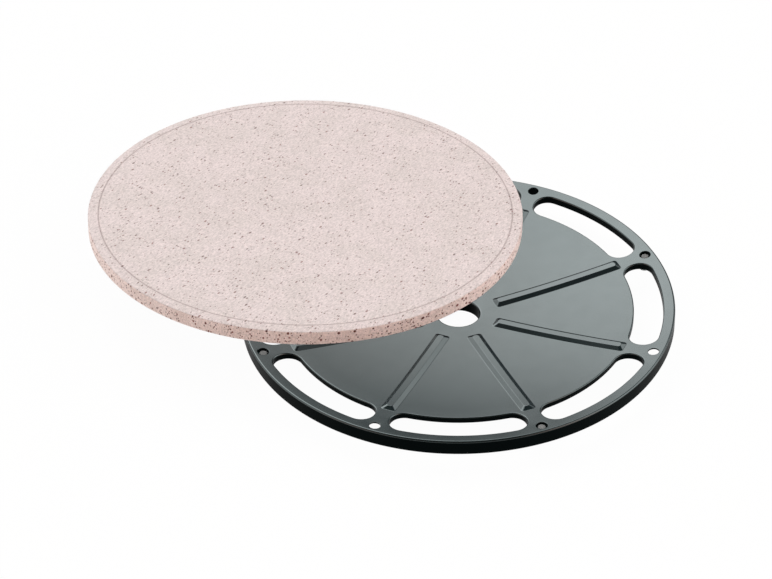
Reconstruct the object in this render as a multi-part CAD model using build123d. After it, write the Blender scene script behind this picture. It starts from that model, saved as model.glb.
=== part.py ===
from build123d import *
from math import asin, degrees, hypot, sqrt
import os

# Round hot stone on a vented, dished carrier plate
# Lengths are in millimetres and angles in degrees
# The origin is the centre of the drain spout's lower end: +Z up, +X right, +Y to the back

# Pressed steel of the carrier plate
sheet = 1.2
carrier_radius = 160.5
rim_bend = 1.4
skirt_drop = 10.2
dish_radius = 1130.0

# Circle of small holes, whose height the other heights start from
ring_height = 20.4
hole_inset = 7.5
hole_radius = 4.0
screw_hole_radius = 4.2
sectors = 8

# Drain spout in the middle
drain_radius = 15.8
drain_bend = 1.4

# Curved vents near the rim, each with a turned-down flange
rim_band = 8.7
slot_width = 21.7
bridge_angle = 5.1
slot_corner = 10.5
slot_lip = 1.0
flange_drop = 5.2

# Pressed ribs that point at the bridges between the vents
rib_start = 13.1
rib_overrun = 0.3
rib_width = 11.2
rib_crown = 4.6
rib_height = 1.9
rib_end_run = 2.9
rib_corner = 2.0
rib_edge = 0.5
rib_sink = 0.3

# Screwed feet under every other small hole
feet = 4
nut_radius = 4.8
nut_length = 4.0
screw_radius = 3.0
thread_clearance = 0.05
tip_depth = 1.2
tip_chamfer = 0.6
washer_radius = 4.7
washer_thickness = 1.2
washer_split = 1.0
head_radius = 4.6
head_chamfer = 0.5
foot_drop = 12.1
socket_width = 4.0
socket_depth = 2.4

# Granite disc with a sloping border outside a fine scored line
stone_overhang = 4.5
stone_edge = 10.9
border_width = 7.3
border_drop = 0.8
score_width = 1.2
score_depth = 0.35
stone_round = 0.8

# The stone lies slid off its seat, leaning on the carrier's rim
stone_x = -116.2
stone_y = 88.6
stone_pitch = -3.64
stone_roll = 1.63
rest_gap = 0.3

# Radii and angles that follow from the sizes above
sector = 360.0 / sectors
hole_circle = carrier_radius - hole_inset
slot_outer = carrier_radius - rim_band
slot_inner = slot_outer - slot_width
slot_half_angle = (sector - bridge_angle) / 2
rib_inner = drain_radius + rib_start
rib_outer = slot_inner + rib_overrun
stone_radius = carrier_radius + stone_overhang

# Heights that follow from the sizes above
skirt_bottom = ring_height - skirt_drop
foot_bottom = ring_height - foot_drop
dish_center = ring_height + sqrt(dish_radius ** 2 - hole_circle ** 2)
reach = ring_height + stone_radius


def bowl(r, depth):
    """Height at radius r of the bowl that lies a depth under the plate's upper face."""
    return dish_center - sqrt((dish_radius + depth) ** 2 - r ** 2)


def dish_top(r):
    return bowl(r, 0)


def dish_under(r):
    return bowl(r, sheet)


def flange_low(r):
    return bowl(r, flange_drop)


def round_corners(face, corners):
    """Round each named corner of a flat face by its own radius."""
    for x, y, radius in corners:
        nearest = face.vertices().sort_by_distance((x, y, 0))[0]
        face = fillet([nearest], radius)
    return face


def lathe(face):
    """Turn a profile drawn as radius and height about Z."""
    return revolve(Plane.XZ * face, Axis.Z)


def bowl_line(height_at, start, end):
    """Curve of one of the plate's bowl-shaped faces between two radii."""
    radii = (start, (start + end) / 2, end)
    return ThreePointArc(*[(r, height_at(r)) for r in radii])


def dish_shell():
    """Spout, sloping plate, rim bend and skirt in one pressed sheet."""
    spout = drain_radius + sheet
    skirt = carrier_radius - sheet
    corners = [
        (drain_radius, 0.0),
        (drain_radius, dish_top(drain_radius)),
        (carrier_radius, dish_top(carrier_radius)),
        (carrier_radius, skirt_bottom),
        (skirt, skirt_bottom),
        (skirt, dish_under(skirt)),
        (spout, dish_under(spout)),
        (spout, 0.0),
    ]
    profile = make_face([
        Line(corners[0], corners[1]),
        bowl_line(dish_top, drain_radius, carrier_radius),
        Polyline(*corners[2:6]),
        bowl_line(dish_under, spout, skirt),
        Polyline(corners[6], corners[7], corners[0]),
    ])
    profile = round_corners(profile, [
        (*corners[1], drain_bend),
        (*corners[2], rim_bend),
        (*corners[5], rim_bend - sheet),
        (*corners[6], drain_bend - sheet),
    ])
    return lathe(profile)


def below(height_at):
    """Everything under one of the plate's bowl-shaped faces, out to the rim bend."""
    edge = carrier_radius - rim_bend
    walls = Polyline((0, height_at(0)), (0, 0), (edge, 0), (edge, height_at(edge)))
    return lathe(make_face([walls, bowl_line(height_at, 0, edge)]))


def slot_face():
    """Outline of the front vent, seen from above."""
    start = -90 - slot_half_angle
    turn = 2 * slot_half_angle
    outer = CenterArc((0, 0), slot_outer, start, turn)
    inner = CenterArc((0, 0), slot_inner, start, turn)
    sides = [Line(inner @ 0, outer @ 0), Line(inner @ 1, outer @ 1)]
    face = make_face([outer, inner, *sides])
    return fillet(face.vertices(), slot_corner)


def slot_flange():
    """Wall turned down around the front vent, with the vent still closed."""
    wall = extrude(offset(slot_face(), sheet), reach)
    return wall & below(dish_top) - below(flange_low)


def slot_cut():
    return extrude(slot_face(), reach)


def lip_edges(plate):
    """Upper edges of the vents."""
    margin = 0.01
    found = []
    for edge in plate.edges():
        middle = edge @ 0.5
        r = hypot(middle.X, middle.Y)
        on_top = abs(middle.Z - dish_top(r)) < margin
        if on_top and slot_inner - margin < r < slot_outer + margin:
            found.append(edge)
    return found


def vented_plate():
    """The dished sheet with its vents, their flanges and their rounded lips."""
    plate = dish_shell()
    turns = [Rot(0, 0, sector * k) for k in range(sectors)]
    plate = plate + [turn * slot_flange() for turn in turns]
    plate = plate - [turn * slot_cut() for turn in turns]
    return fillet(lip_edges(plate), slot_lip)


def rib_bar():
    """Tapered bar that follows the bowl from the middle to the rib's outer end."""
    low = dish_top(0) - rib_sink
    high = dish_top(0) + rib_height
    spread = (rib_width - rib_crown) / 2 * rib_sink / rib_height
    foot = rib_width / 2 + spread
    crown = rib_crown / 2
    section = Polyline((-foot, low), (foot, low), (crown, high), (-crown, high), close=True)
    turn = degrees(asin(rib_outer / dish_radius))
    axis = Axis((0, 0, dish_center), (0, -1, 0))
    return revolve(Plane.YZ * make_face(section), axis, turn)


def rib_side():
    """The rib seen from the side: two slanting ends, drawn high enough for its crown."""
    lean = rib_end_run / rib_height
    top = 2 * rib_height + dish_top(rib_outer)
    corners = []
    for r, way in ((rib_inner, 1), (rib_outer, -1)):
        foot = dish_top(r)
        ends = [(r + way * lean * (z - foot), z) for z in (0, top)]
        corners += ends[::way]
    profile = Plane.XZ * make_face(Polyline(*corners, close=True))
    return extrude(profile, rib_width, both=True)


def rib(sunk=0.0):
    """Rib that lies along the bowl, lowered by sunk for its hollow."""
    solid = rib_bar() & rib_side()
    slanting = [edge for edge in solid.edges() if is_corner(edge)]
    solid = fillet(slanting, rib_corner)
    crown = solid.faces().sort_by(Axis.Z)[-1]
    solid = fillet(crown.edges(), rib_edge)
    return Pos(0, 0, -sunk) * solid


def is_corner(edge):
    """True for a short edge that climbs between a rib's side and its end."""
    start, end = edge @ 0, edge @ 1
    return abs(end.Z - start.Z) > rib_height and abs(end.X - start.X) < 3 * rib_end_run


def bridge(k):
    """Turn from +X to the bridge between two vents, where ribs and holes are."""
    return Rot(0, 0, -90 + sector * (k + 0.5))


def has_foot(k):
    """True at every other bridge, which carries a screwed foot."""
    return k % (sectors // feet) == 0


def small_hole(k):
    radius = screw_hole_radius if has_foot(k) else hole_radius
    drill = Cylinder(radius, skirt_drop)
    return bridge(k) * Pos(hole_circle, 0, ring_height) * drill


def carrier_plate():
    plate = vented_plate()
    turns = [bridge(k) for k in range(sectors)]
    plate = plate + [turn * rib() for turn in turns]
    plate = plate - [turn * rib(sheet) for turn in turns]
    return plate - [small_hole(k) for k in range(sectors)]


def post(radius, low, high):
    """Upright cylinder between two heights."""
    return Pos(0, 0, low) * Cylinder(
        radius, high - low, align=(Align.CENTER, Align.CENTER, Align.MIN)
    )


nut_bottom = dish_under(hole_circle) - nut_length
washer_bottom = nut_bottom - washer_thickness
bore = screw_radius + thread_clearance


def weld_nut():
    """Round nut whose top follows the plate's lower face."""
    lie = Pos(hole_circle, 0, 0)
    blank = lie * post(nut_radius, nut_bottom, ring_height) & below(dish_under)
    return blank - lie * post(bore, 0, ring_height)


def lock_washer():
    ring = post(washer_radius, washer_bottom, nut_bottom) - post(bore, 0, ring_height)
    gap = Box(2 * washer_radius, washer_split, 2 * washer_thickness)
    split = Pos(washer_radius, 0, nut_bottom) * gap
    return Pos(hole_circle, 0, 0) * (ring - split)


def foot_screw():
    """Screw from below: its end shows in the hole and its head is the foot."""
    head = post(head_radius, foot_bottom, washer_bottom)
    head = chamfer(head.edges().filter_by(GeomType.CIRCLE), head_chamfer)
    tip = ring_height - tip_depth
    shank = post(screw_radius, washer_bottom, tip)
    shank = chamfer(shank.edges().group_by(Axis.Z)[-1], tip_chamfer)
    hexagon = RegularPolygon(socket_width / 2, 6, major_radius=False)
    socket = extrude(Pos(0, 0, foot_bottom) * hexagon, socket_depth)
    return Pos(hole_circle, 0, 0) * (head + shank - socket)


def stone_disc():
    """The stone with its underside on Z = 0."""
    crease = stone_radius - border_width
    top = stone_edge + border_drop
    corners = [
        (0, 0),
        (stone_radius, 0),
        (stone_radius, stone_edge),
        (crease, top),
        (crease - score_width / 2, top - score_depth),
        (crease - score_width, top),
        (0, top),
    ]
    profile = make_face(Polyline(*corners, close=True))
    profile = round_corners(profile, [
        (*corners[1], stone_round),
        (*corners[2], stone_round),
    ])
    return lathe(profile)


def seat_height(normal):
    """Height of the leaning stone's underside at its centre.

    The rim's crest and the stone's edge cross at two points, and the stone
    clears the higher of the two by rest_gap.
    """
    crest = carrier_radius - rim_bend
    apart = hypot(stone_x, stone_y)
    along = (apart ** 2 + crest ** 2 - stone_radius ** 2) / (2 * apart)
    across = sqrt(crest ** 2 - along ** 2)
    fall_x = normal.X / normal.Z
    fall_y = normal.Y / normal.Z
    heights = []
    for side in (-1, 1):
        x = (along * stone_x - side * across * stone_y) / apart
        y = (along * stone_y + side * across * stone_x) / apart
        heights.append(fall_x * (x - stone_x) + fall_y * (y - stone_y))
    return rim_crest() + rest_gap + max(heights)


def rim_crest():
    """Highest point of the rounded rim."""
    return bowl(carrier_radius - rim_bend, rim_bend) + rim_bend


def hot_stone():
    lean = Rot(stone_pitch, 0, 0) * Rot(0, stone_roll, 0)
    normal = Plane(lean).z_dir
    return Pos(stone_x, stone_y, seat_height(normal)) * lean * stone_disc()


os.makedirs("parts", exist_ok=True)
export_step(carrier_plate(), "parts/carrier_plate.step")
export_step(hot_stone(), "parts/hot_stone.step")
bridges_with_feet = [k for k in range(sectors) if has_foot(k)]
for number, k in enumerate(bridges_with_feet, start=1):
    export_step(bridge(k) * weld_nut(), f"parts/weld_nut_{number}.step")
    export_step(bridge(k) * lock_washer(), f"parts/lock_washer_{number}.step")
    export_step(bridge(k) * foot_screw(), f"parts/foot_screw_{number}.step")
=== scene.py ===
# %% [markdown]
# # A hot stone and its carrier plate
#
# The real thing is two parts that live on top of a tabletop barbecue: a disc of pink granite to
# cook on, and a dished plate of enamelled steel that carries it and leads fat to a spout. This
# lesson dresses the solids of that part. Each cell makes one piece or one finish, and prints
# what it made. Lengths are in metres, as Blender has them, and most sizes are written in
# millimetres times MM.
#
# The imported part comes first. It is the frame that everything else is fitted to, so its
# box is measured before anything is added.

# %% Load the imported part
from math import asin, cos, degrees, hypot, pi, radians, sin, sqrt, tan

import bmesh
import bpy
from mathutils import Matrix, Vector
from mathutils.geometry import delaunay_2d_cdt


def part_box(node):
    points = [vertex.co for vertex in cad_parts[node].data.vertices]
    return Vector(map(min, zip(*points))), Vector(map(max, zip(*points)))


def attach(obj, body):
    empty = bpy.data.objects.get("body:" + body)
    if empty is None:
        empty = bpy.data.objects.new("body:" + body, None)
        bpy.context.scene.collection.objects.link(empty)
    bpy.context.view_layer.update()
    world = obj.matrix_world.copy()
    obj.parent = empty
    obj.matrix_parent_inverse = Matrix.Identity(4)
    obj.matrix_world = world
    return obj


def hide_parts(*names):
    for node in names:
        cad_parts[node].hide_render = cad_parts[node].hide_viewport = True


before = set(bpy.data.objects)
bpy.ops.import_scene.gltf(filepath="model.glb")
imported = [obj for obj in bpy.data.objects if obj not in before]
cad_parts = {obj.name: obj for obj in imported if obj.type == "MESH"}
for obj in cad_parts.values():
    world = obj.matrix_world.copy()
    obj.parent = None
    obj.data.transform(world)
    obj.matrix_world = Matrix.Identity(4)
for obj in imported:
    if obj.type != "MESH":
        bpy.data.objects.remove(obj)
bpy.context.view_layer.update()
MM = 0.001
print("nodes in the frame:", ", ".join(sorted(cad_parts)))

# %% [markdown]
# ## The camera
#
# The photograph was taken with a long lens from 37.5 degrees above the table. The angle, the
# distance, a small lift and the focal length in pixels say where the camera stands and what it
# takes in. The plate's axis falls on a column right of the picture's middle, as if the picture
# were cut from a wider one. So the camera looks straight at the axis, close to the middle of
# the ring of small holes, and a sideways shift of the lens moves the picture as a cut does. A
# second shift lowers the picture by half a pixel.

# %% Set the camera
RING_HEIGHT = 20.4 * MM
PHOTO_WIDTH = 772
FOCAL_PIXELS = 2824.76
AXIS_COLUMN = 458.3
PIXELS_LOWER = 0.5
LOOK_DOWN = radians(37.49)
CAMERA_DISTANCE = 2092.3 * MM
CAMERA_LIFT = 8.83 * MM
NEAR_CLIP = 50 * MM


def set_camera():
    """Camera at the photograph's place, looking at the plate's axis, with a shifted lens."""
    data = bpy.data.cameras.new("camera")
    data.lens = FOCAL_PIXELS * data.sensor_width / PHOTO_WIDTH
    data.shift_x = 0.5 - AXIS_COLUMN / PHOTO_WIDTH
    data.shift_y = PIXELS_LOWER / PHOTO_WIDTH
    data.clip_start = NEAR_CLIP
    camera = bpy.data.objects.new("camera", data)
    back = Vector((0, -cos(LOOK_DOWN), sin(LOOK_DOWN)))
    up = Vector((0, sin(LOOK_DOWN), cos(LOOK_DOWN)))
    ring_centre = Vector((0, 0, RING_HEIGHT))
    camera.location = ring_centre + CAMERA_DISTANCE * back + CAMERA_LIFT * up
    camera.rotation_euler = (pi / 2 - LOOK_DOWN, 0, 0)
    bpy.context.scene.collection.objects.link(camera)
    bpy.context.scene.camera = camera
    return camera


camera = set_camera()
print("lens", round(camera.data.lens, 1), "mm, shift", round(camera.data.shift_x, 4))

# %% [markdown]
# ## Helpers for nodes, meshes and colours
#
# Finishes and Geometry Nodes are both trees of nodes. One helper feeds the inputs of a node,
# each with a value or from a socket, and another adds a node to a tree. Sums are so common
# that they have a helper of their own. Another turns lists of points and faces into an object,
# and the last takes a colour as a screen shows it, and gives the linear one that a shader needs.

# %% Helpers
def feed(tree, node, inputs):
    """Give each input of a node a value or the socket that feeds it."""
    for name, value in inputs.items():
        if isinstance(value, bpy.types.NodeSocket):
            tree.links.new(value, node.inputs[name])
        else:
            node.inputs[name].default_value = value


def add(tree, kind, inputs=None, **settings):
    """Add a node with its settings and what feeds its inputs."""
    made = tree.nodes.new(kind)
    for name, value in settings.items():
        setattr(made, name, value)
    feed(tree, made, inputs or {})
    return made


def maths(tree, operation, *values, **settings):
    """Add a math node over values or sockets and return its result."""
    inputs = dict(enumerate(values))
    return add(tree, "ShaderNodeMath", inputs, operation=operation, **settings).outputs[0]


def mesh_object(name, points, faces):
    """A new object in the scene, made of these points and faces."""
    mesh = bpy.data.meshes.new(name)
    mesh.from_pydata(points, [], faces)
    made = bpy.data.objects.new(name, mesh)
    bpy.context.scene.collection.objects.link(made)
    return made


def colour(red, green, blue):
    """A screen colour from 0 to 255 as the linear colour that a shader takes."""
    linear = []
    for part in (red, green, blue):
        share = part / 255
        low = share / 12.92
        linear.append(low if share < 0.04045 else ((share + 0.055) / 1.055) ** 2.4)
    return (*linear, 1.0)


print("a screen grey of 128 is", round(colour(128, 128, 128)[0], 3), "as a linear colour")

# %% [markdown]
# ## Granite
#
# The stone is a pale pink granite. Seen close it has three scales: broad clouds that drift
# from pink to a greenish grey, a fine grain, and short dark flecks of mica. The clouds and the
# grain are noise. The flecks are the middles of Voronoi cells, and a random number of each cell
# decides whether it holds a fleck and how big that is. The pattern is stretched along one
# direction, so that the flecks lie as short strokes. All of it reads Object coordinates, so the
# stone looks cut from one solid block.

# %% Mix colours, read noise and find flecks
def new_finish(name):
    """A new material, its tree of nodes and its shader."""
    material = bpy.data.materials.new(name)
    material.use_nodes = True
    return material, material.node_tree, material.node_tree.nodes["Principled BSDF"]


def mix(tree, share, first, second, blend="MIX"):
    """The first colour, with a share of the second mixed or blended in."""
    inputs = {0: share, 6: first, 7: second}
    node = add(tree, "ShaderNodeMix", inputs, data_type="RGBA", blend_type=blend)
    return node.outputs[2]


def smooth_step(tree, value, low, high, to_low=0.0, to_high=1.0):
    """Lead a value softly from one limit to another as it crosses a span."""
    node = add(tree, "ShaderNodeMapRange", {
        "Value": value, "From Min": low, "From Max": high,
        "To Min": to_low, "To Max": to_high,
    }, interpolation_type="SMOOTHSTEP")
    return node.outputs["Result"]


def noise(tree, place, scale, detail=2.0, roughness=0.5):
    """Values of a noise texture, most of which lie in NOISE_SPAN."""
    return add(tree, "ShaderNodeTexNoise", {
        "Vector": place, "Scale": scale, "Detail": detail, "Roughness": roughness,
    }).outputs["Fac"]


def bump(tree, shader, height, strength, depth):
    """Let the slope of a texture tilt the shader's normal."""
    made = add(tree, "ShaderNodeBump", {"Height": height, "Strength": strength, "Distance": depth})
    feed(tree, shader, {"Normal": made.outputs["Normal"]})


NOISE_SPAN = (0.3, 0.7)
FLECK_CORE = 0.45
LEAST_FLECK = 0.02


def flecks(tree, place, cell, share, reach):
    """1 inside the flecks and 0 outside, with one fleck in that share of the cells."""
    cells = add(tree, "ShaderNodeTexVoronoi", {"Vector": place, "Scale": 1 / cell})
    chance = add(tree, "ShaderNodeSeparateColor", {"Color": cells.outputs["Color"]})
    size = smooth_step(tree, chance.outputs["Red"], 1 - share, 1.0, 0.0, reach)
    core = maths(tree, "MULTIPLY", size, FLECK_CORE)
    inside = add(tree, "ShaderNodeMapRange", {
        "Value": cells.outputs["Distance"], "From Min": core, "From Max": size,
        "To Min": 1.0, "To Max": 0.0,
    })
    there = maths(tree, "GREATER_THAN", size, LEAST_FLECK)
    shown = maths(tree, "MULTIPLY", inside.outputs["Result"], there)
    return shown, chance.outputs["Green"]


print("a fleck is fully dark up to", FLECK_CORE, "of its reach")

# %% [markdown]
# The honed top and the sawn side show the same rock. The sawn side's ground is paler and warmer
# than the top's, as painted light, and its flecks are redder and stronger, as in the rock. The
# scored line is the same rock again, darker, as painted shade in its groove. So one function
# makes all three finishes, from their own colours and strengths.
# There are three sizes of fleck. Each has its cell, the share of cells that hold one, its reach
# as a share of the cell, and how dark it is.

# %% Granite finishes
STROKE_TURN = radians(55)
STROKE_STRETCH = (1.6, 0.8, 1.1)
FLECK_SIZES = (
    (4.8 * MM, 0.60, 0.24, 0.95),
    (2.9 * MM, 0.62, 0.30, 0.85),
    (1.8 * MM, 0.62, 0.36, 0.60),
)
CLOUD_SCALE = 38.0
CLOUD_SPAN = (0.38, 0.64)
GRAIN_SCALE = 700.0
GRAIN_SHADES = (0.80, 1.11)
GRAIN_STRENGTH = 0.25
GRAIN_DEPTH = 0.08 * MM
STONE_SPECULAR = 0.3


def granite(name, ground, cloud, fleck_dark, fleck_red, strength, density, roughness):
    material, tree, shader = new_finish(name)
    where = add(tree, "ShaderNodeTexCoord").outputs["Object"]
    lay = add(tree, "ShaderNodeMapping", {
        "Vector": where, "Rotation": (0.0, 0.0, STROKE_TURN), "Scale": STROKE_STRETCH,
    }, vector_type="TEXTURE").outputs["Vector"]
    drift = smooth_step(tree, noise(tree, where, CLOUD_SCALE), *CLOUD_SPAN)
    body = mix(tree, drift, ground, cloud)
    grain = noise(tree, lay, GRAIN_SCALE, detail=3.0, roughness=0.65)
    shade = smooth_step(tree, grain, *NOISE_SPAN, *GRAIN_SHADES)
    greys = add(tree, "ShaderNodeCombineColor", {"Red": shade, "Green": shade, "Blue": shade})
    body = mix(tree, 1.0, body, greys.outputs["Color"], "MULTIPLY")
    for cell, share, reach, weight in FLECK_SIZES:
        inside, which = flecks(tree, lay, cell, share * density, reach)
        tint = mix(tree, which, fleck_dark, fleck_red)
        depth = maths(tree, "MULTIPLY", inside, weight * strength, use_clamp=True)
        body = mix(tree, depth, body, tint)
    feed(tree, shader, {
        "Base Color": body, "Roughness": roughness, "Specular IOR Level": STONE_SPECULAR,
    })
    bump(tree, shader, grain, GRAIN_STRENGTH, GRAIN_DEPTH)
    return material


stone_face = granite(
    "granite_honed",
    ground=colour(217, 206, 204), cloud=colour(212, 202, 199),
    fleck_dark=colour(104, 84, 80), fleck_red=colour(150, 116, 112),
    strength=1.2, density=1.2, roughness=0.6,
)
# The scored line's darker ground and cloud are painted shade in its groove.
stone_score_painted_shade = granite(
    "granite_scored_painted_shade",
    ground=colour(188, 174, 172), cloud=colour(182, 169, 166),
    fleck_dark=colour(104, 84, 80), fleck_red=colour(150, 116, 112),
    strength=1.2, density=1.2, roughness=0.8,
)
# The side's paler, warmer ground is painted light; its redder, stronger flecks are the rock's own.
stone_side_painted_light = granite(
    "granite_sawn_painted_light",
    ground=colour(248, 232, 226), cloud=colour(240, 224, 217),
    fleck_dark=colour(84, 50, 46), fleck_red=colour(142, 90, 82),
    strength=2.6, density=1.9, roughness=0.75,
)
print("granite finishes:", stone_face.name, stone_score_painted_shade.name, stone_side_painted_light.name)

# %% [markdown]
# ## Enamel and steel
#
# The plate is pressed steel under a coat of black enamel, which is a glass: near black in
# itself, and seen by what it mirrors. The dish is glossy. Where the sheet is turned down, the
# skirt and the walls of the vents take a darker, duller copy of the enamel, as painted shade, so
# they look almost black. What the coat mirrors comes back a little green, so the shader's
# specular tint holds back some red.
# Both finishes have the faint waviness of fired enamel, as a very shallow bump.

# %% Enamel finishes
ENAMEL_IOR = 1.55
LESS_RED = (0.87, 1.0, 1.0, 1.0)
DARKER_PATCH = 0.8
TONE_SCALE = 60.0
BLOTCH_SCALE = 90.0
BLOTCH_ROUGHER = 0.05
WAVE_SCALE = 450.0
WAVE_STRENGTH = 0.2


def enamel(name, base, specular, roughness, wave):
    material, tree, shader = new_finish(name)
    where = add(tree, "ShaderNodeTexCoord").outputs["Object"]
    darker = colour(*(DARKER_PATCH * part for part in base))
    body = mix(tree, noise(tree, where, TONE_SCALE, detail=3.0), colour(*base), darker)
    blotch = noise(tree, where, BLOTCH_SCALE)
    rougher = roughness + BLOTCH_ROUGHER
    gloss = smooth_step(tree, blotch, *NOISE_SPAN, roughness, rougher)
    feed(tree, shader, {
        "Base Color": body, "Roughness": gloss, "Specular IOR Level": specular,
        "IOR": ENAMEL_IOR, "Specular Tint": LESS_RED,
    })
    bump(tree, shader, noise(tree, where, WAVE_SCALE), WAVE_STRENGTH, wave)
    return material


dish_enamel = enamel(
    "enamel_dish", base=(6, 24, 27), specular=0.75, roughness=0.13, wave=0.015 * MM
)
# A darker, duller copy of the enamel for steep faces: painted shade.
wall_enamel_painted_shade = enamel(
    "enamel_wall_painted_shade", base=(1, 7, 8), specular=0.015, roughness=0.35, wave=0.03 * MM
)
print("enamel finishes:", dish_enamel.name, wall_enamel_painted_shade.name)

# %% [markdown]
# The screws and washers are plain turned steel. A very fine noise varies its grey and its
# roughness, as the tool's marks do.

# %% Steel finish
STEEL_GRAIN_SCALE = 2500.0
STEEL_DARK = colour(112, 113, 112)
STEEL_PALE = colour(150, 151, 150)
STEEL_ROUGHER = 0.12


def turned_steel(name, roughness):
    material, tree, shader = new_finish(name)
    where = add(tree, "ShaderNodeTexCoord").outputs["Object"]
    grain = noise(tree, where, STEEL_GRAIN_SCALE)
    body = mix(tree, grain, STEEL_DARK, STEEL_PALE)
    gloss = smooth_step(tree, grain, *NOISE_SPAN, roughness, roughness + STEEL_ROUGHER)
    feed(tree, shader, {"Base Color": body, "Roughness": gloss, "Metallic": 1.0})
    return material


steel = turned_steel("turned_steel", roughness=0.7)
print("steel finish:", steel.name)

# %% [markdown]
# ## The shape of the dish
#
# The plate's upper face is part of a very large ball, whose middle lies far above it. So one
# formula gives the height at any radius and at any depth below the face, and the lower face is
# the same ball one sheet larger. The outer radius and the circle of the small holes come from
# the frame.

# %% Sizes of the carrier plate
plate_low, plate_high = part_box("carrier_plate")
screw_low, screw_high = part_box("foot_screw_1")
SHEET = 1.2 * MM
BALL_RADIUS = 1130 * MM
RIM_BEND = 1.3 * MM
SKIRT_DROP = 10.2 * MM
DRAIN_RADIUS = 15.8 * MM
DRAIN_BEND = 1.4 * MM
CUT_EDGE = 0.25 * MM
SECTORS = 8
SECTOR = 2 * pi / SECTORS
QUARTERS = SECTORS // 2

carrier_radius = plate_high.x
hole_circle = hypot((screw_low.x + screw_high.x) / 2, (screw_low.y + screw_high.y) / 2)
skirt_bottom = RING_HEIGHT - SKIRT_DROP
ball_middle = RING_HEIGHT + sqrt(BALL_RADIUS ** 2 - hole_circle ** 2)


def bowl(radius, depth):
    """Height at a radius of the bowl that lies a depth under the upper face."""
    return ball_middle - sqrt((BALL_RADIUS + depth) ** 2 - radius ** 2)


def slope_at(radius):
    return asin(radius / BALL_RADIUS)


def dish_top(x, y):
    return bowl(hypot(x, y), 0.0)


def dish_under(x, y):
    return bowl(hypot(x, y), SHEET)


slopes = [round(degrees(slope_at(radius)), 1) for radius in (DRAIN_RADIUS, carrier_radius)]
print("slope at the spout and at the rim:", *slopes, "degrees")
print("plate radius", round(carrier_radius / MM, 1), "mm, holes on", round(hole_circle / MM, 1))

# %% [markdown]
# ## A skin made of rings
#
# Everything on the plate is made of closed rings that are joined by bands of four-sided faces:
# the rim and the spout are rings round the axis, and a vent, a rib or a hole is an outline
# that moves outwards and down step by step. The sheet between such rings is filled with
# triangles by a Delaunay triangulation, which takes any number of outlines as holes.

# %% Rings, bands and fills
TRIANGLES_INSIDE = 1
SAME_POINT = 1e-7


class Skin:
    """Points and faces that grow ring by ring."""

    def __init__(self):
        self.points = []
        self.faces = []

    def ring(self, points):
        """Add points and return their numbers."""
        first = len(self.points)
        self.points.extend(points)
        return list(range(first, len(self.points)))

    def band(self, low, high):
        """Join two rings of as many points."""
        count = len(low)
        for i in range(count):
            j = (i + 1) % count
            self.faces.append((low[i], low[j], high[j], high[i]))

    def bands(self, rings):
        """Add rings and join each one to the next."""
        made = [self.ring(points) for points in rings]
        for low, high in zip(made, made[1:]):
            self.band(low, high)

    def cap_ends(self, count):
        """Close the first and the last ring, of that many points, with one face each."""
        last = len(self.points) - count
        self.faces.append(tuple(range(count)))
        self.faces.append(tuple(range(last, last + count)))

    def fill(self, outlines, height, rise=0.0, inner_points=()):
        """Triangles inside the first flat outline and outside the others, lifted to a height."""
        flat = []
        areas = []
        for outline in outlines:
            areas.append(list(range(len(flat), len(flat) + len(outline))))
            flat.extend(Vector(point) for point in outline)
        flat.extend(Vector(point) for point in inner_points)
        found, _, triangles, _, _, within = delaunay_2d_cdt(
            flat, [], areas, TRIANGLES_INSIDE, SAME_POINT
        )
        ring = self.ring([(p.x, p.y, height(p.x, p.y) + rise) for p in found])
        for triangle, area_numbers in zip(triangles, within):
            if area_numbers == [0]:
                self.faces.append(tuple(ring[i] for i in triangle))


def steps(count):
    """Shares from 0 to 1 in equal steps."""
    return [i / count for i in range(count + 1)]


def plan_of(points):
    """The first two coordinates of each point."""
    return [(point[0], point[1]) for point in points]


def arc(centre_x, centre_y, radius, start, end, count):
    """Points of an arc and the direction that each one faces."""
    found = []
    for share in steps(count):
        angle = start + (end - start) * share
        dx, dy = cos(angle), sin(angle)
        found.append((centre_x + radius * dx, centre_y + radius * dy, dx, dy))
    return found


print("a quarter turn in 4 steps has", len(arc(0, 0, 1, 0, pi / 2, 4)), "points")

# %% [markdown]
# ## Rim and spout
#
# Both are turned about the axis. The rim bends over into a skirt, and the spout bends down to a
# short pipe. The inner and outer bend share one centre, as in real sheet, and the cut edges are
# slightly rounded so that they catch light.

# %% Profiles of the rim and the spout
RIM_STEPS = 288
DRAIN_STEPS = 96
OUTER_BEND_STEPS = 10
INNER_BEND_STEPS = 5
EDGE_STEPS = 3


def cut_edge(inner, outer, bottom):
    """Rounded lower edge of the sheet, from its first wall to its second."""
    first, second = sorted((inner, outer))
    z = bottom + CUT_EDGE
    low = arc(first + CUT_EDGE, z, CUT_EDGE, pi, 1.5 * pi, EDGE_STEPS)
    high = arc(second - CUT_EDGE, z, CUT_EDGE, 1.5 * pi, 2 * pi, EDGE_STEPS)
    edge = plan_of(low + high)
    return edge if inner < outer else edge[::-1]


def turned_sheet(x, bend, towards, bottom):
    """Profile of the sheet, bent about a centre at radius x, from upper to lower face."""
    z = bowl(x, bend)
    start = pi / 2 + slope_at(x)
    outer = arc(x, z, bend, start, towards, OUTER_BEND_STEPS)
    inner = arc(x, z, bend - SHEET, towards, start, INNER_BEND_STEPS)
    edge = cut_edge(outer[-1][0], inner[0][0], bottom)
    return plan_of(outer) + edge + plan_of(inner)


def round_axis(radii, height):
    """A level ring of points round the axis, one for each radius."""
    points = []
    for i, radius in enumerate(radii):
        angle = 2 * pi * i / len(radii)
        points.append((radius * cos(angle), radius * sin(angle), height))
    return points


def circle(radius, height, count):
    return round_axis([radius] * count, height)


rim_profile = turned_sheet(carrier_radius - RIM_BEND, RIM_BEND, 0.0, skirt_bottom)
drain_profile = turned_sheet(DRAIN_RADIUS + DRAIN_BEND, DRAIN_BEND, pi, plate_low.z)
print("rim profile:", len(rim_profile), "points, spout profile:", len(drain_profile))

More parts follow.
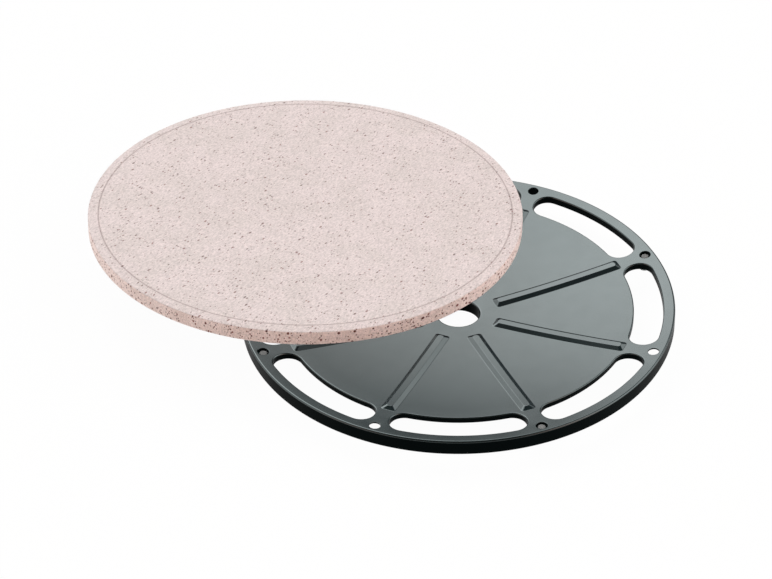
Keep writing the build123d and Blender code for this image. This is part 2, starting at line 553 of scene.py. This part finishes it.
# %% [markdown]
# ## Vents
#
# A vent is a stretch of a ring with rounded corners. Its outline is worked out once, with the
# direction that each point faces, so that it can be moved outwards by any distance. The sheet
# is turned down around it: the outline starts on the dish, rolls over a lip, runs down the wall,
# round the cut edge, and up again to the dish's lower face.

# %% Outline and wall of a vent
SLOT_OUTER = carrier_radius - 8.7 * MM
SLOT_INNER = SLOT_OUTER - 21.7 * MM
BRIDGE_ANGLE = radians(5.1)
SLOT_CORNER = 10.5 * MM
SLOT_LIP = 0.95 * MM
FLANGE_LOW = 14.4 * MM
FLANGE_LOW_INNER = 13.0 * MM
INNER_FILLET = 0.5 * MM
SLOT_OUTER_STEPS = 30
SLOT_INNER_STEPS = 26
SLOT_CORNER_STEPS = 12
LIP_STEPS = 8
FILLET_STEPS = 4


def slot_outline(middle):
    """Points of a vent whose middle lies at an angle, each with the way it faces."""
    half = (SECTOR - BRIDGE_ANGLE) / 2
    far = SLOT_OUTER - SLOT_CORNER
    near = SLOT_INNER + SLOT_CORNER
    far_turn = half - asin(SLOT_CORNER / far)
    near_turn = half - asin(SLOT_CORNER / near)
    outline = arc(0, 0, SLOT_OUTER, -far_turn, far_turn, SLOT_OUTER_STEPS)
    outline += corner(far, far_turn, far_turn, half + pi / 2)
    outline += corner(near, near_turn, half + pi / 2, near_turn + pi)
    inner = arc(0, 0, SLOT_INNER, near_turn, -near_turn, SLOT_INNER_STEPS)
    outline += [(x, y, -dx, -dy) for x, y, dx, dy in inner[1:]]
    outline += corner(near, -near_turn, pi - near_turn, 1.5 * pi - half)
    outline += corner(far, -far_turn, 1.5 * pi - half, 2 * pi - far_turn)[:-1]
    return [turned(point, middle) for point in outline]


def corner(distance, angle, start, end):
    """Rounded corner of a vent about a point given by its distance and angle."""
    x, y = distance * cos(angle), distance * sin(angle)
    first = 1 if start == angle else 0
    return arc(x, y, SLOT_CORNER, start, end, SLOT_CORNER_STEPS)[first:]


def turned(point, angle):
    """An outline's point, and the way it faces, turned about the plate's axis."""
    x, y, dx, dy = point
    c, s = cos(angle), sin(angle)
    return (c * x - s * y, s * x + c * y, c * dx - s * dy, s * dx + c * dy)


def moved(outline, away):
    """The outline moved the way it faces, as flat points."""
    return [(x + away * dx, y + away * dy) for x, y, dx, dy in outline]


def rings_along(outline, stations):
    """One ring for each station: how far out, on which face, and how far above it."""
    rings = []
    for away, height, rise in stations:
        flat = moved(outline, away)
        rings.append([(x, y, height(x, y) + rise) for x, y in flat])
    return rings


def quarter_turn(count):
    return [share * pi / 2 for share in steps(count)]


def flange_low(x, y):
    """Height of a flange's lower edge, which rises outwards like the dish."""
    share = (hypot(x, y) - SLOT_INNER) / (SLOT_OUTER - SLOT_INNER)
    return FLANGE_LOW_INNER + share * (FLANGE_LOW - FLANGE_LOW_INNER)


def upper_edge(radius, count):
    """Stations from the dish over a round edge to the wall."""
    return [(radius * (1 - sin(a)), dish_top, radius * (cos(a) - 1)) for a in quarter_turn(count)]


def lower_edge(radius, face, count):
    """Stations from the wall round an edge to a lower face."""
    return [(radius * (1 - cos(a)), face, radius * (1 - sin(a))) for a in quarter_turn(count)]


def vent_stations():
    """The lip, the two sides of the cut edge, and the fillet under the dish."""
    stations = upper_edge(SLOT_LIP, LIP_STEPS) + lower_edge(CUT_EDGE, flange_low, EDGE_STEPS)
    stations += [(SHEET - CUT_EDGE * (1 - sin(a)), flange_low, CUT_EDGE * (1 - cos(a)))
                 for a in quarter_turn(EDGE_STEPS)]
    stations += [(SHEET + INNER_FILLET * (1 - cos(a)), dish_under, INNER_FILLET * (sin(a) - 1))
                 for a in quarter_turn(FILLET_STEPS)]
    return stations


print("a vent has", len(slot_outline(0.0)), "points and", len(vent_stations()), "rings")

# %% [markdown]
# ## Ribs
#
# A rib is pressed up on each line from the spout to a bridge between two vents. It has a long
# outline at its foot and a narrower one at its crown. A ring in between is a share of the way
# from one to the other, and two arcs round the rib's foot and its crown, because pressed sheet
# never has a sharp corner. Those two arcs are what draws the fine bright lines along a real rib.
# The lower face repeats the same rings, one sheet lower.

# %% Outline and walls of a rib
RIB_START = DRAIN_RADIUS + 13.3 * MM
RIB_END = SLOT_INNER + 0.9 * MM
RIB_WIDTH = 11.0 * MM
RIB_CROWN = 4.7 * MM
RIB_HEIGHT = 1.95 * MM
RIB_END_RUN = 3.0 * MM
RIB_CORNER = 2.2 * MM
RIB_CROWN_CORNER = 1.8 * MM
RIB_FOOT_RADIUS = 0.8 * MM
RIB_CROWN_RADIUS = 0.5 * MM
RIB_FOOT_STEPS = 6
RIB_CROWN_STEPS = 5
BAR_CORNER_STEPS = 6
BAR_SIDE_STEPS = 14


def rounded_bar(start, end, width, corner_radius):
    """Flat outline of a bar with rounded corners, in the same number of points for any size."""
    side = width / 2 - corner_radius
    first, last = start + corner_radius, end - corner_radius
    points = []
    for x, y, begin in ((last, side, 0), (first, side, pi / 2),
                        (first, -side, pi), (last, -side, 1.5 * pi)):
        points += plan_of(arc(x, y, corner_radius, begin, begin + pi / 2, BAR_CORNER_STEPS))
    return spread_long_sides(points)


def spread_long_sides(points):
    """Add points along the two long sides, which follow the first and third corner."""
    corner_points = len(points) // 4
    spread = []
    for k in range(4):
        spread += points[k * corner_points:(k + 1) * corner_points]
        if k % 2 == 0:
            (ax, ay), (bx, by) = spread[-1], points[(k + 1) * corner_points]
            spread += [(ax + (bx - ax) * share, ay + (by - ay) * share)
                       for share in steps(BAR_SIDE_STEPS)[1:-1]]
    return spread


def rib_profile():
    """Share of the way from foot to crown, and height, along the rib's rounded wall."""
    run = (RIB_WIDTH - RIB_CROWN) / 2
    lean = Vector((run, RIB_HEIGHT)).angle_signed(Vector((1, 0)))
    foot = RIB_FOOT_RADIUS * tan(lean / 2)
    crown = RIB_CROWN_RADIUS * tan(lean / 2)
    points = []
    for share in steps(RIB_FOOT_STEPS):
        a = lean * share
        points.append((RIB_FOOT_RADIUS * sin(a) - foot, RIB_FOOT_RADIUS * (1 - cos(a))))
    for share in steps(RIB_CROWN_STEPS):
        a = lean * (1 - share)
        x = run + crown - RIB_CROWN_RADIUS * sin(a)
        points.append((x, RIB_HEIGHT - RIB_CROWN_RADIUS * (1 - cos(a))))
    return [(x / run, z) for x, z in points]


def rib_rings(angle, height):
    """Rings of one rib on the upper or the lower face, from foot to crown."""
    foot = rounded_bar(RIB_START, RIB_END, RIB_WIDTH, RIB_CORNER)
    crown = rounded_bar(
        RIB_START + RIB_END_RUN, RIB_END - RIB_END_RUN, RIB_CROWN, RIB_CROWN_CORNER
    )
    rings = []
    for share, rise in rib_profile():
        flat = [turned((ax + (bx - ax) * share, ay + (by - ay) * share, 0, 0), angle)[:2]
                for (ax, ay), (bx, by) in zip(foot, crown)]
        rings.append([(x, y, height(x, y) + rise) for x, y in flat])
    return rings


print("a rib has", len(rib_rings(0.0, dish_top)[0]), "points and", len(rib_profile()), "rings")

# %% [markdown]
# ## Small holes
#
# A small hole is drilled through the sheet on each bridge, and its two edges are slightly
# rounded. It is made in the way of a vent, from an outline that moves outwards. Every other
# hole is a little wider, for a screw.

# %% Outline and wall of a small hole
HOLE_RADIUS = 4.0 * MM
SCREW_HOLE_RADIUS = 4.2 * MM
HOLE_EDGE = 0.3 * MM
HOLE_STEPS = 40
HOLE_EDGE_STEPS = 4


def hole_outline(radius, angle):
    x, y = hole_circle * cos(angle), hole_circle * sin(angle)
    return arc(x, y, radius, 0, 2 * pi, HOLE_STEPS)[:-1]


def hole_stations():
    """The upper and then the lower edge of a small hole."""
    lower = lower_edge(HOLE_EDGE, dish_under, HOLE_EDGE_STEPS)
    return upper_edge(HOLE_EDGE, HOLE_EDGE_STEPS) + lower


print("a small hole has", len(hole_outline(HOLE_RADIUS, 0.0)), "points")

# %% [markdown]
# ## One quarter of the plate, and the sheet around it
#
# Every other small hole takes a screw, so the pattern repeats after two bridges: a quarter of the
# plate. The quarter holds two vents, two ribs and two holes, without the sheet between them. The
# sheet itself is filled once for the whole plate, with all those outlines left open, because a
# triangulation needs to know every hole. Loose points between the ribs keep its triangles
# small, so that the bowl stays round.

# %% Build the quarter and the sheet
QUARTER = 2 * SECTOR
FIRST_SLOT = -pi / 2
BRIDGES = ((SECTOR / 2, SCREW_HOLE_RADIUS), (1.5 * SECTOR, HOLE_RADIUS))
INNER_RINGS = [r * MM for r in range(30, 126, 8)]
INNER_STEPS = 96
CLEAR_OF_RIB = 8 * MM


def quarter_plate():
    skin = Skin()
    for middle in (0.0, SECTOR):
        skin.bands(rings_along(slot_outline(middle), vent_stations()))
    for angle, radius in BRIDGES:
        skin.bands(rings_along(hole_outline(radius, angle), hole_stations()))
        for height in (dish_top, dish_under):
            rings = rib_rings(angle, height)
            skin.bands(rings)
            skin.fill([plan_of(rings[-1])], height, RIB_HEIGHT)
    return mesh_object("quarter_plate", skin.points, skin.faces)


def open_outlines(height):
    """Outlines of all vents, ribs and holes where they meet one face of the sheet."""
    station = 0 if height is dish_top else -1
    away = vent_stations()[station][0]
    outlines = []
    for k in range(QUARTERS):
        first = FIRST_SLOT + QUARTER * k
        for middle in (first, first + SECTOR):
            outlines.append(moved(slot_outline(middle), away))
        for angle, radius in BRIDGES:
            outlines.append(moved(hole_outline(radius, first + angle), HOLE_EDGE))
            outlines.append(plan_of(rib_rings(first + angle, height)[0]))
    return outlines


def loose_points():
    """Points between the ribs that keep the triangles of the dish small."""
    points = []
    for radius in INNER_RINGS:
        for i in range(INNER_STEPS):
            angle = 2 * pi * i / INNER_STEPS
            from_rib = (angle - FIRST_SLOT - SECTOR / 2 + pi / SECTORS) % SECTOR - pi / SECTORS
            if abs(radius * sin(from_rib)) > CLEAR_OF_RIB:
                points.append((radius * cos(angle), radius * sin(angle)))
    return points


def sheet_and_rims():
    skin = Skin()
    for profile, count in ((rim_profile, RIM_STEPS), (drain_profile, DRAIN_STEPS)):
        skin.bands([circle(radius, height, count) for radius, height in profile])
    for height, end in ((dish_top, 0), (dish_under, -1)):
        rim = plan_of(circle(rim_profile[end][0], 0, RIM_STEPS))
        drain = plan_of(circle(drain_profile[end][0], 0, DRAIN_STEPS))
        skin.fill([rim, drain, *open_outlines(height)], height, 0.0, loose_points())
    return mesh_object("carrier_sheet", skin.points, skin.faces)


quarter_mesh = quarter_plate()
carrier = sheet_and_rims()
print("quarter:", len(quarter_mesh.data.polygons), "faces, sheet:", len(carrier.data.polygons))

# %% [markdown]
# ## Set copies around the axis with Geometry Nodes
#
# The quarter comes four times, and so does each fastener under the plate. One Geometry Nodes
# tree does it for all of them: it sets copies of an object around the axis, joins them to the
# mesh that carries the modifier, welds what meets, and gives steep faces a second finish, which
# on the plate is a darker, duller enamel painted as shade. The result is turned into a plain
# mesh. Its normals are weighted by area, so that broad faces keep their curve up to the small
# arcs that round them.

# %% The tree that sets copies around
def turning_tree():
    tree = bpy.data.node_groups.new("copies_around_the_axis", "GeometryNodeTree")
    face = tree.interface
    face.new_socket("Geometry", in_out="OUTPUT", socket_type="NodeSocketGeometry")
    for name, kind in (
        ("Geometry", "NodeSocketGeometry"), ("Pattern", "NodeSocketObject"),
        ("Copies", "NodeSocketInt"), ("First turn", "NodeSocketFloat"),
        ("Weld", "NodeSocketFloat"), ("Steep below", "NodeSocketFloat"),
        ("Finish", "NodeSocketMaterial"), ("Steep finish", "NodeSocketMaterial"),
    ):
        face.new_socket(name, in_out="INPUT", socket_type=kind)
    given = add(tree, "NodeGroupInput").outputs
    points = add(tree, "GeometryNodePoints", {"Count": given["Copies"]})
    index = add(tree, "GeometryNodeInputIndex").outputs["Index"]
    step = maths(tree, "DIVIDE", 2 * pi, given["Copies"])
    turn = maths(tree, "MULTIPLY_ADD", index, step, given["First turn"])
    angles = add(tree, "ShaderNodeCombineXYZ", {"Z": turn})
    pattern = add(tree, "GeometryNodeObjectInfo", {"Object": given["Pattern"]})
    copies = add(tree, "GeometryNodeInstanceOnPoints", {
        "Points": points.outputs[0], "Instance": pattern.outputs["Geometry"],
        "Rotation": angles.outputs[0],
    })
    joined = add(tree, "GeometryNodeJoinGeometry")
    tree.links.new(copies.outputs[0], joined.inputs[0])
    tree.links.new(given["Geometry"], joined.inputs[0])
    real = add(tree, "GeometryNodeRealizeInstances", {"Geometry": joined.outputs[0]})
    welded = add(tree, "GeometryNodeMergeByDistance", {
        "Geometry": real.outputs[0], "Distance": given["Weld"],
    })
    smooth = add(tree, "GeometryNodeSetShadeSmooth", {"Geometry": welded.outputs[0]})
    painted = add(tree, "GeometryNodeSetMaterial", {
        "Geometry": smooth.outputs[0], "Material": given["Finish"],
    })
    normal = add(tree, "GeometryNodeInputNormal").outputs[0]
    parts = add(tree, "ShaderNodeSeparateXYZ", {"Vector": normal})
    upright = maths(tree, "ABSOLUTE", parts.outputs["Z"])
    # Steep faces take the second finish; on the plate it is the painted shade.
    steep = maths(tree, "LESS_THAN", upright, given["Steep below"])
    walls = add(tree, "GeometryNodeSetMaterial", {
        "Geometry": painted.outputs[0], "Material": given["Steep finish"],
        "Selection": steep,
    })
    add(tree, "NodeGroupOutput", {"Geometry": walls.outputs[0]})
    return tree


around = turning_tree()
print("tree", around.name, "has", len(around.nodes), "nodes")

# %% [markdown]
# A modifier's inputs are set by their identifiers before the object is looked at for the first
# time. Afterwards the evaluated mesh is copied, and the modifier and the pattern are removed.

# %% Run the tree and finish a mesh
WELD = 0.01 * MM
STEEP_BELOW = 0.2


def set_around(carrying, pattern, finish, steep_shade_finish=None, steep_below=0.0, **values):
    """Give the mesh its copies of the pattern and return the finished object."""
    modifier = carrying.modifiers.new("copies", "NODES")
    modifier.node_group = around
    values = {
        "Pattern": pattern, "Weld": WELD, "Steep below": steep_below,
        "Finish": finish, "Steep finish": steep_shade_finish or finish, **values,
    }
    for item in around.interface.items_tree:
        if item.in_out == "INPUT" and item.name in values:
            modifier[item.identifier] = values[item.name]
    finished = plain_mesh(carrying)
    bpy.data.objects.remove(pattern)
    return finished


def evaluated_mesh(made):
    """The object's mesh as its modifiers leave it, with the modifiers removed."""
    bpy.context.view_layer.update()
    graph = bpy.context.evaluated_depsgraph_get()
    mesh = bpy.data.meshes.new_from_object(made.evaluated_get(graph))
    made.modifiers.clear()
    made.data = mesh
    return mesh


def plain_mesh(made):
    """Apply the modifiers, face everything outwards and weight the normals by area."""
    mesh = evaluated_mesh(made)
    work = bmesh.new()
    work.from_mesh(mesh)
    bmesh.ops.recalc_face_normals(work, faces=work.faces)
    open_edges = sum(1 for edge in work.edges if not edge.is_manifold)
    work.to_mesh(mesh)
    work.free()
    weighted = made.modifiers.new("weighted", "WEIGHTED_NORMAL")
    weighted.keep_sharp = True
    evaluated_mesh(made)
    print(made.name, "has", len(made.data.polygons), "faces and", open_edges, "open edges")
    return made


carrier.name = "carrier_plate_enamelled"
# The plate's steep faces take the darker enamel, painted shade.
set_around(
    carrier, quarter_mesh, dish_enamel, wall_enamel_painted_shade, STEEP_BELOW,
    **{"Copies": QUARTERS, "First turn": FIRST_SLOT},
)
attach(carrier, "carrier")
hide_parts("carrier_plate")

# %% [markdown]
# ## The stone
#
# The stone is turned about its own axis, which leans, because it lies slid off its seat. Its
# place is read from the frame: the triangles of the underside give the way it leans and its
# middle. The profile has the fine scored line a few millimetres inside the edge, and outside that
# line the border slopes down a little.

# %% Profile of the stone
STONE_RADIUS = 165.0 * MM
STONE_EDGE = 10.9 * MM
BORDER_WIDTH = 7.3 * MM
BORDER_DROP = 0.8 * MM
SCORE_WIDTH = 1.2 * MM
SCORE_DEPTH = 0.35 * MM
STONE_ROUND = 0.8 * MM
STONE_STEPS = 288
STONE_ROUND_STEPS = 5
FACE_RADII = (10 * MM, 45 * MM, 90 * MM, 135 * MM)
FACING_DOWN = -0.9
CREASE_RADIUS = STONE_RADIUS - BORDER_WIDTH


def stone_profile():
    """Radii and heights from the underside, round the edge and up to the honed face."""
    top = STONE_EDGE + BORDER_DROP
    inside = STONE_RADIUS - STONE_ROUND
    upper = STONE_EDGE - STONE_ROUND
    profile = [(radius, 0.0) for radius in FACE_RADII]
    profile += plan_of(arc(inside, STONE_ROUND, STONE_ROUND, -pi / 2, 0, STONE_ROUND_STEPS))
    profile += plan_of(arc(inside, upper, STONE_ROUND, 0, pi / 2, STONE_ROUND_STEPS))
    profile += [
        (CREASE_RADIUS, top),
        (CREASE_RADIUS - SCORE_WIDTH / 2, top - SCORE_DEPTH),
        (CREASE_RADIUS - SCORE_WIDTH, top),
    ]
    profile += [(radius, top) for radius in FACE_RADII[::-1]]
    return profile


def lie_of(node):
    """Where the flat underside of a node lies: its middle and the way up from it."""
    middle, normal, total = Vector(), Vector(), 0.0
    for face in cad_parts[node].data.polygons:
        if face.normal.z < FACING_DOWN:
            middle += face.area * face.center
            normal += face.area * face.normal
            total += face.area
    up = -normal.normalized()
    return Matrix.Translation(middle / total) @ up.to_track_quat("Z", "X").to_matrix().to_4x4()


def turned_stone():
    skin = Skin()
    rings = [circle(radius, height, STONE_STEPS) for radius, height in stone_profile()]
    skin.bands(rings)
    skin.cap_ends(STONE_STEPS)
    return mesh_object("granite_disc", skin.points, skin.faces)


stone = turned_stone()
print("stone profile has", len(stone_profile()), "points")

# %% [markdown]
# The honed and the sawn finish meet in the middle of the stone's rounded upper edge, and the sawn
# one is paler, as painted light. The scored line has its own, darker, as painted shade. The faces
# are chosen while the disc still lies level, and only then is it laid in its place. The
# photograph's enamel doesn't mirror the stone, so the stone is left out of mirror images.

# %% Finish the stone and lay it down
SIDE_BELOW = 0.6
STONE_FINISHES = (stone_face, stone_side_painted_light, stone_score_painted_shade)
HONED, SAWN_PAINTED_LIGHT, SCORED_PAINTED_SHADE = range(len(STONE_FINISHES))


def stone_finish(face):
    """Which finish a face of the level disc takes."""
    # Steep faces take the sawn finish, whose paler ground is painted light.
    if abs(face.normal.z) < SIDE_BELOW:
        return SAWN_PAINTED_LIGHT
    # Faces in the scored line take the darker finish, painted shade.
    in_score_shade = CREASE_RADIUS - SCORE_WIDTH < face.center.xy.length < CREASE_RADIUS
    return SCORED_PAINTED_SHADE if in_score_shade and face.center.z > STONE_EDGE else HONED


def finish_stone(made):
    mesh = made.data
    for finish in STONE_FINISHES:
        mesh.materials.append(finish)
    for face in mesh.polygons:
        face.use_smooth = True
        face.material_index = stone_finish(face)
    plain_mesh(made)
    made.data.transform(lie_of("hot_stone"))
    made.data.update()


finish_stone(stone)
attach(stone, "stone")
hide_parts("hot_stone")
stone.visible_glossy = False

# %% [markdown]
# ## Nuts, washers and screws
#
# Under every other small hole hangs a short screw whose head is a foot. A round nut is welded to
# the plate, and a split washer lies between it and the head. Each is modelled once, on the X
# axis, and the same tree sets four around. Their heights come from the frame.

# %% Sizes of the fasteners
nut_low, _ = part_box("weld_nut_1")
washer_low, washer_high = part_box("lock_washer_1")
FEET = 4
FASTENER_STEPS = 48
SCREW_RADIUS = 3.0 * MM
BORE_RADIUS = 3.05 * MM
TIP_CHAMFER = 0.6 * MM
HEAD_RADIUS = 4.6 * MM
HEAD_CHAMFER = 0.5 * MM
NUT_RADIUS = 4.8 * MM
NUT_CHAMFER = 0.4 * MM
BEAD = 0.7 * MM
BEAD_STEPS = 4
WASHER_RADIUS = 4.7 * MM
WASHER_EDGE = 0.1 * MM
WASHER_SPLIT = radians(14)
SPLIT_LEAN = 0.4 * WASHER_SPLIT
SOCKET_WIDTH = 4.0 * MM
SOCKET_DEPTH = 2.4 * MM
KNURL_DEPTH = 0.18 * MM
first_foot = FIRST_SLOT + SECTOR / 2


def place_out(points):
    """Move points from the axis out to the circle of small holes."""
    return [(x + hole_circle, y, z) for x, y, z in points]


def shape_object(name, rings, closed=True):
    """Skin over rings, capped at both ends or closed into a tube."""
    skin = Skin()
    skin.bands([place_out(ring) for ring in rings])
    count = len(rings[0])
    last = len(skin.points) - count
    if closed:
        skin.band(list(range(last, last + count)), list(range(count)))
    else:
        skin.cap_ends(count)
    return mesh_object(name, skin.points, skin.faces)


def four_around(name, one, finish):
    """One object with a copy of a fastener at each screw hole."""
    return set_around(
        mesh_object(name, [], []), one, finish, **{"Copies": FEET, "First turn": first_foot}
    )


print("screw from", round(screw_low.z / MM, 2), "to", round(screw_high.z / MM, 2), "mm")

# %% [markdown]
# The nut's upper end follows the slope of the plate and has a small bead of weld round it.

# %% Weld nuts
def nut_rings():
    bottom = nut_low.z
    wall = [(BORE_RADIUS, bottom), (NUT_RADIUS - NUT_CHAMFER, bottom)]
    wall += [(NUT_RADIUS, bottom + NUT_CHAMFER)]
    rings = [circle(radius, height, FASTENER_STEPS) for radius, height in wall]
    for a in quarter_turn(BEAD_STEPS):
        away = NUT_RADIUS + BEAD * (1 - cos(a))
        rings.append([(x, y, dish_under(x + hole_circle, y) - BEAD * (1 - sin(a)))
                      for x, y, _ in circle(away, 0, FASTENER_STEPS)])
    rings.append([(x, y, dish_under(x + hole_circle, y))
                  for x, y, _ in circle(BORE_RADIUS, 0, FASTENER_STEPS)])
    return rings


# The nuts take the darker, duller enamel that the plate's steep faces take as painted shade.
nuts = four_around("weld_nuts_enamelled", shape_object("one_nut", nut_rings()), wall_enamel_painted_shade)
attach(nuts, "carrier")
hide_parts(*(f"weld_nut_{k + 1}" for k in range(FEET)))

# %% [markdown]
# The washer is a flat ring with a slanted split. Its section is swept from one side of the split
# to the other, and both ends are closed.

# %% Lock washers
def washer_sections():
    """The washer's section, over and over on the way round from one side of the split."""
    low, high = washer_low.z, washer_high.z
    inner, outer = BORE_RADIUS + WASHER_EDGE, WASHER_RADIUS - WASHER_EDGE
    section = [
        (inner, low), (outer, low),
        (WASHER_RADIUS, low + WASHER_EDGE), (WASHER_RADIUS, high - WASHER_EDGE),
        (outer, high), (inner, high),
        (BORE_RADIUS, high - WASHER_EDGE), (BORE_RADIUS, low + WASHER_EDGE),
    ]
    sections = []
    for share in steps(FASTENER_STEPS):
        ring = []
        for radius, height in section:
            lean = SPLIT_LEAN * (height - low) / (high - low)
            angle = WASHER_SPLIT / 2 + (2 * pi - WASHER_SPLIT) * share + lean
            ring.append((radius * cos(angle), radius * sin(angle), height))
        sections.append(ring)
    return sections


one_washer = shape_object("one_washer", washer_sections(), closed=False)
washers = four_around("lock_washers_steel", one_washer, steel)
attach(washers, "carrier")
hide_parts(*(f"lock_washer_{k + 1}" for k in range(FEET)))

# %% [markdown]
# The screw's head has a hexagon socket from below and a finely knurled side. Its end, chamfered,
# is the pale disc that shows in the hole from above.

# %% Foot screws
def hexagon(across, height, count):
    """A ring on a hexagon of that width across its flats."""
    within = [2 * pi * i / count % (pi / 3) - pi / 6 for i in range(count)]
    return round_axis([across / 2 / cos(angle) for angle in within], height)


def knurled(radius, height, count):
    """A ring whose every other point lies one knurl's depth further in."""
    return round_axis([radius - KNURL_DEPTH * (i % 2) for i in range(count)], height)


def screw_rings():
    count = 2 * FASTENER_STEPS
    foot, under_head, tip = screw_low.z, washer_low.z, screw_high.z
    socket = [hexagon(SOCKET_WIDTH, foot + SOCKET_DEPTH, count),
              hexagon(SOCKET_WIDTH, foot, count)]
    head = [circle(HEAD_RADIUS - HEAD_CHAMFER, foot, count),
            circle(HEAD_RADIUS - KNURL_DEPTH, foot + HEAD_CHAMFER, count),
            knurled(HEAD_RADIUS, foot + HEAD_CHAMFER + KNURL_DEPTH, count),
            knurled(HEAD_RADIUS, under_head - HEAD_CHAMFER - KNURL_DEPTH, count),
            circle(HEAD_RADIUS - KNURL_DEPTH, under_head - HEAD_CHAMFER, count),
            circle(HEAD_RADIUS - HEAD_CHAMFER, under_head, count)]
    shank = [circle(SCREW_RADIUS, under_head, count),
             circle(SCREW_RADIUS, tip - TIP_CHAMFER, count),
             circle(SCREW_RADIUS - TIP_CHAMFER, tip, count)]
    return socket + head + shank


one_screw = shape_object("one_screw", screw_rings(), closed=False)
screws = four_around("foot_screws_steel", one_screw, steel)
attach(screws, "carrier")
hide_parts(*(f"foot_screw_{k + 1}" for k in range(FEET)))

# %% [markdown]
# ## The floor
#
# The photograph has a white ground. The floor's own colour is pale, and what the camera and
# mirroring surfaces see of it is mostly a plain white of strength 1, with a small part of the
# real shading left in, so that the object keeps a soft shadow. An emission shader gives the
# white, and Light Path tells which rays come from the camera, from a mirror or through glass.

# %% Floor
FLOOR_SIZE = 12.0
FLOOR_GAP = 0.2 * MM
FLOOR_PALE = (0.85, 0.85, 0.85, 1.0)
WHITE = (1.0, 1.0, 1.0, 1.0)
SHADOW_SHARE = 0.03


def floor_finish():
    material, tree, shader = new_finish("floor_pale")
    feed(tree, shader, {"Base Color": FLOOR_PALE, "Roughness": 0.9, "Specular IOR Level": 0.0})
    white = add(tree, "ShaderNodeEmission", {"Color": WHITE, "Strength": 1.0})
    ray = add(tree, "ShaderNodeLightPath").outputs
    seen = maths(tree, "ADD", ray["Is Camera Ray"], ray["Is Glossy Ray"], use_clamp=True)
    seen = maths(tree, "ADD", seen, ray["Is Transmission Ray"], use_clamp=True)
    share = maths(tree, "MULTIPLY", seen, 1 - SHADOW_SHARE)
    both = add(tree, "ShaderNodeMixShader", {
        0: share, 1: shader.outputs[0], 2: white.outputs[0],
    })
    feed(tree, tree.nodes["Material Output"], {"Surface": both.outputs[0]})
    return material


def lay_floor():
    half = FLOOR_SIZE / 2
    height = plate_low.z - FLOOR_GAP
    corners = [(-half, -half, height), (half, -half, height),
               (half, half, height), (-half, half, height)]
    floor = mesh_object("floor", corners, [(0, 1, 2, 3)])
    floor.data.materials.append(floor_finish())
    return floor


floor = lay_floor()
below = plate_low.z - floor.data.vertices[0].co.z
print("floor lies", round(below / MM, 2), "mm below the spout")

# %% [markdown]
# ## The light
#
# There are no lamps. The light comes from a world that is like a dim tent, with a bright panel
# on the left and on the right, which light the stone, and one soft glow high at the back, with a
# weaker one to its right. Enamel is seen by what it mirrors: the glow makes the back of the dish
# pale, and leaves its front dark. In front the tent is a little warm. Each patch of light is a
# smooth step on the direction that a ray goes, so its edge is soft.

# %% The tent and its glow
GLOW_TOWARDS = (-0.30, 0.62, 0.71)
GLOW_REACH = (0, 33)
GLOW_LIGHT = 4.25
FILL_TOWARDS = (0.64, 0.53, 0.56)
FILL_REACH = (3, 17)
FILL_LIGHT = 1.75
PANEL_EDGE = (0.35, 0.75)
LEFT_LIGHT = 1.25
RIGHT_LIGHT = 2.6
DIM_IN_FRONT = (-0.9, -0.2, 0.3, 1.0)
DIM_BEHIND = (0.2, 0.6, 1.0, 0.15)
DIM = 0.13
WARM = (1.0, 0.62, 0.52, 1.0)
WARM_SPAN = (-0.7, 0.0)


def spot(tree, towards, direction, reach, light):
    """Light of a soft round patch, full at one angle from its centre and gone at another."""
    centre = tuple(Vector(direction).normalized())
    facing = add(tree, "ShaderNodeVectorMath", {0: towards, 1: centre}, operation="DOT_PRODUCT")
    full, gone = (cos(radians(angle)) for angle in reach)
    return smooth_step(tree, facing.outputs["Value"], gone, full, 0.0, light)


def side_panels(tree, parts):
    """Light of two tall panels to the left and right, dimmer towards the front and back."""
    begin, full = PANEL_EDGE
    right = smooth_step(tree, parts["X"], begin, full, 0.0, RIGHT_LIGHT)
    left = smooth_step(tree, parts["X"], -full, -begin, LEFT_LIGHT, 0.0)
    panel = maths(tree, "ADD", right, left)
    for span in (DIM_IN_FRONT, DIM_BEHIND):
        panel = maths(tree, "MULTIPLY", panel, smooth_step(tree, parts["Y"], *span))
    return panel


def light_world():
    world = bpy.data.worlds.new("tent")
    bpy.context.scene.world = world
    world.use_nodes = True
    tree = world.node_tree
    towards = add(tree, "ShaderNodeTexCoord").outputs["Generated"]
    parts = add(tree, "ShaderNodeSeparateXYZ", {"Vector": towards}).outputs
    light = side_panels(tree, parts)
    for patch in (spot(tree, towards, GLOW_TOWARDS, GLOW_REACH, GLOW_LIGHT),
                  spot(tree, towards, FILL_TOWARDS, FILL_REACH, FILL_LIGHT), DIM):
        light = maths(tree, "ADD", light, patch)
    in_front = smooth_step(tree, parts["Y"], *WARM_SPAN, 1.0, 0.0)
    tint = mix(tree, in_front, WHITE, WARM)
    feed(tree, tree.nodes["Background"], {"Strength": light, "Color": tint})
    return world


world = light_world()
view = bpy.context.scene.view_settings
view.view_transform = "Standard"
print("world:", world.name, "view transform:", view.view_transform)
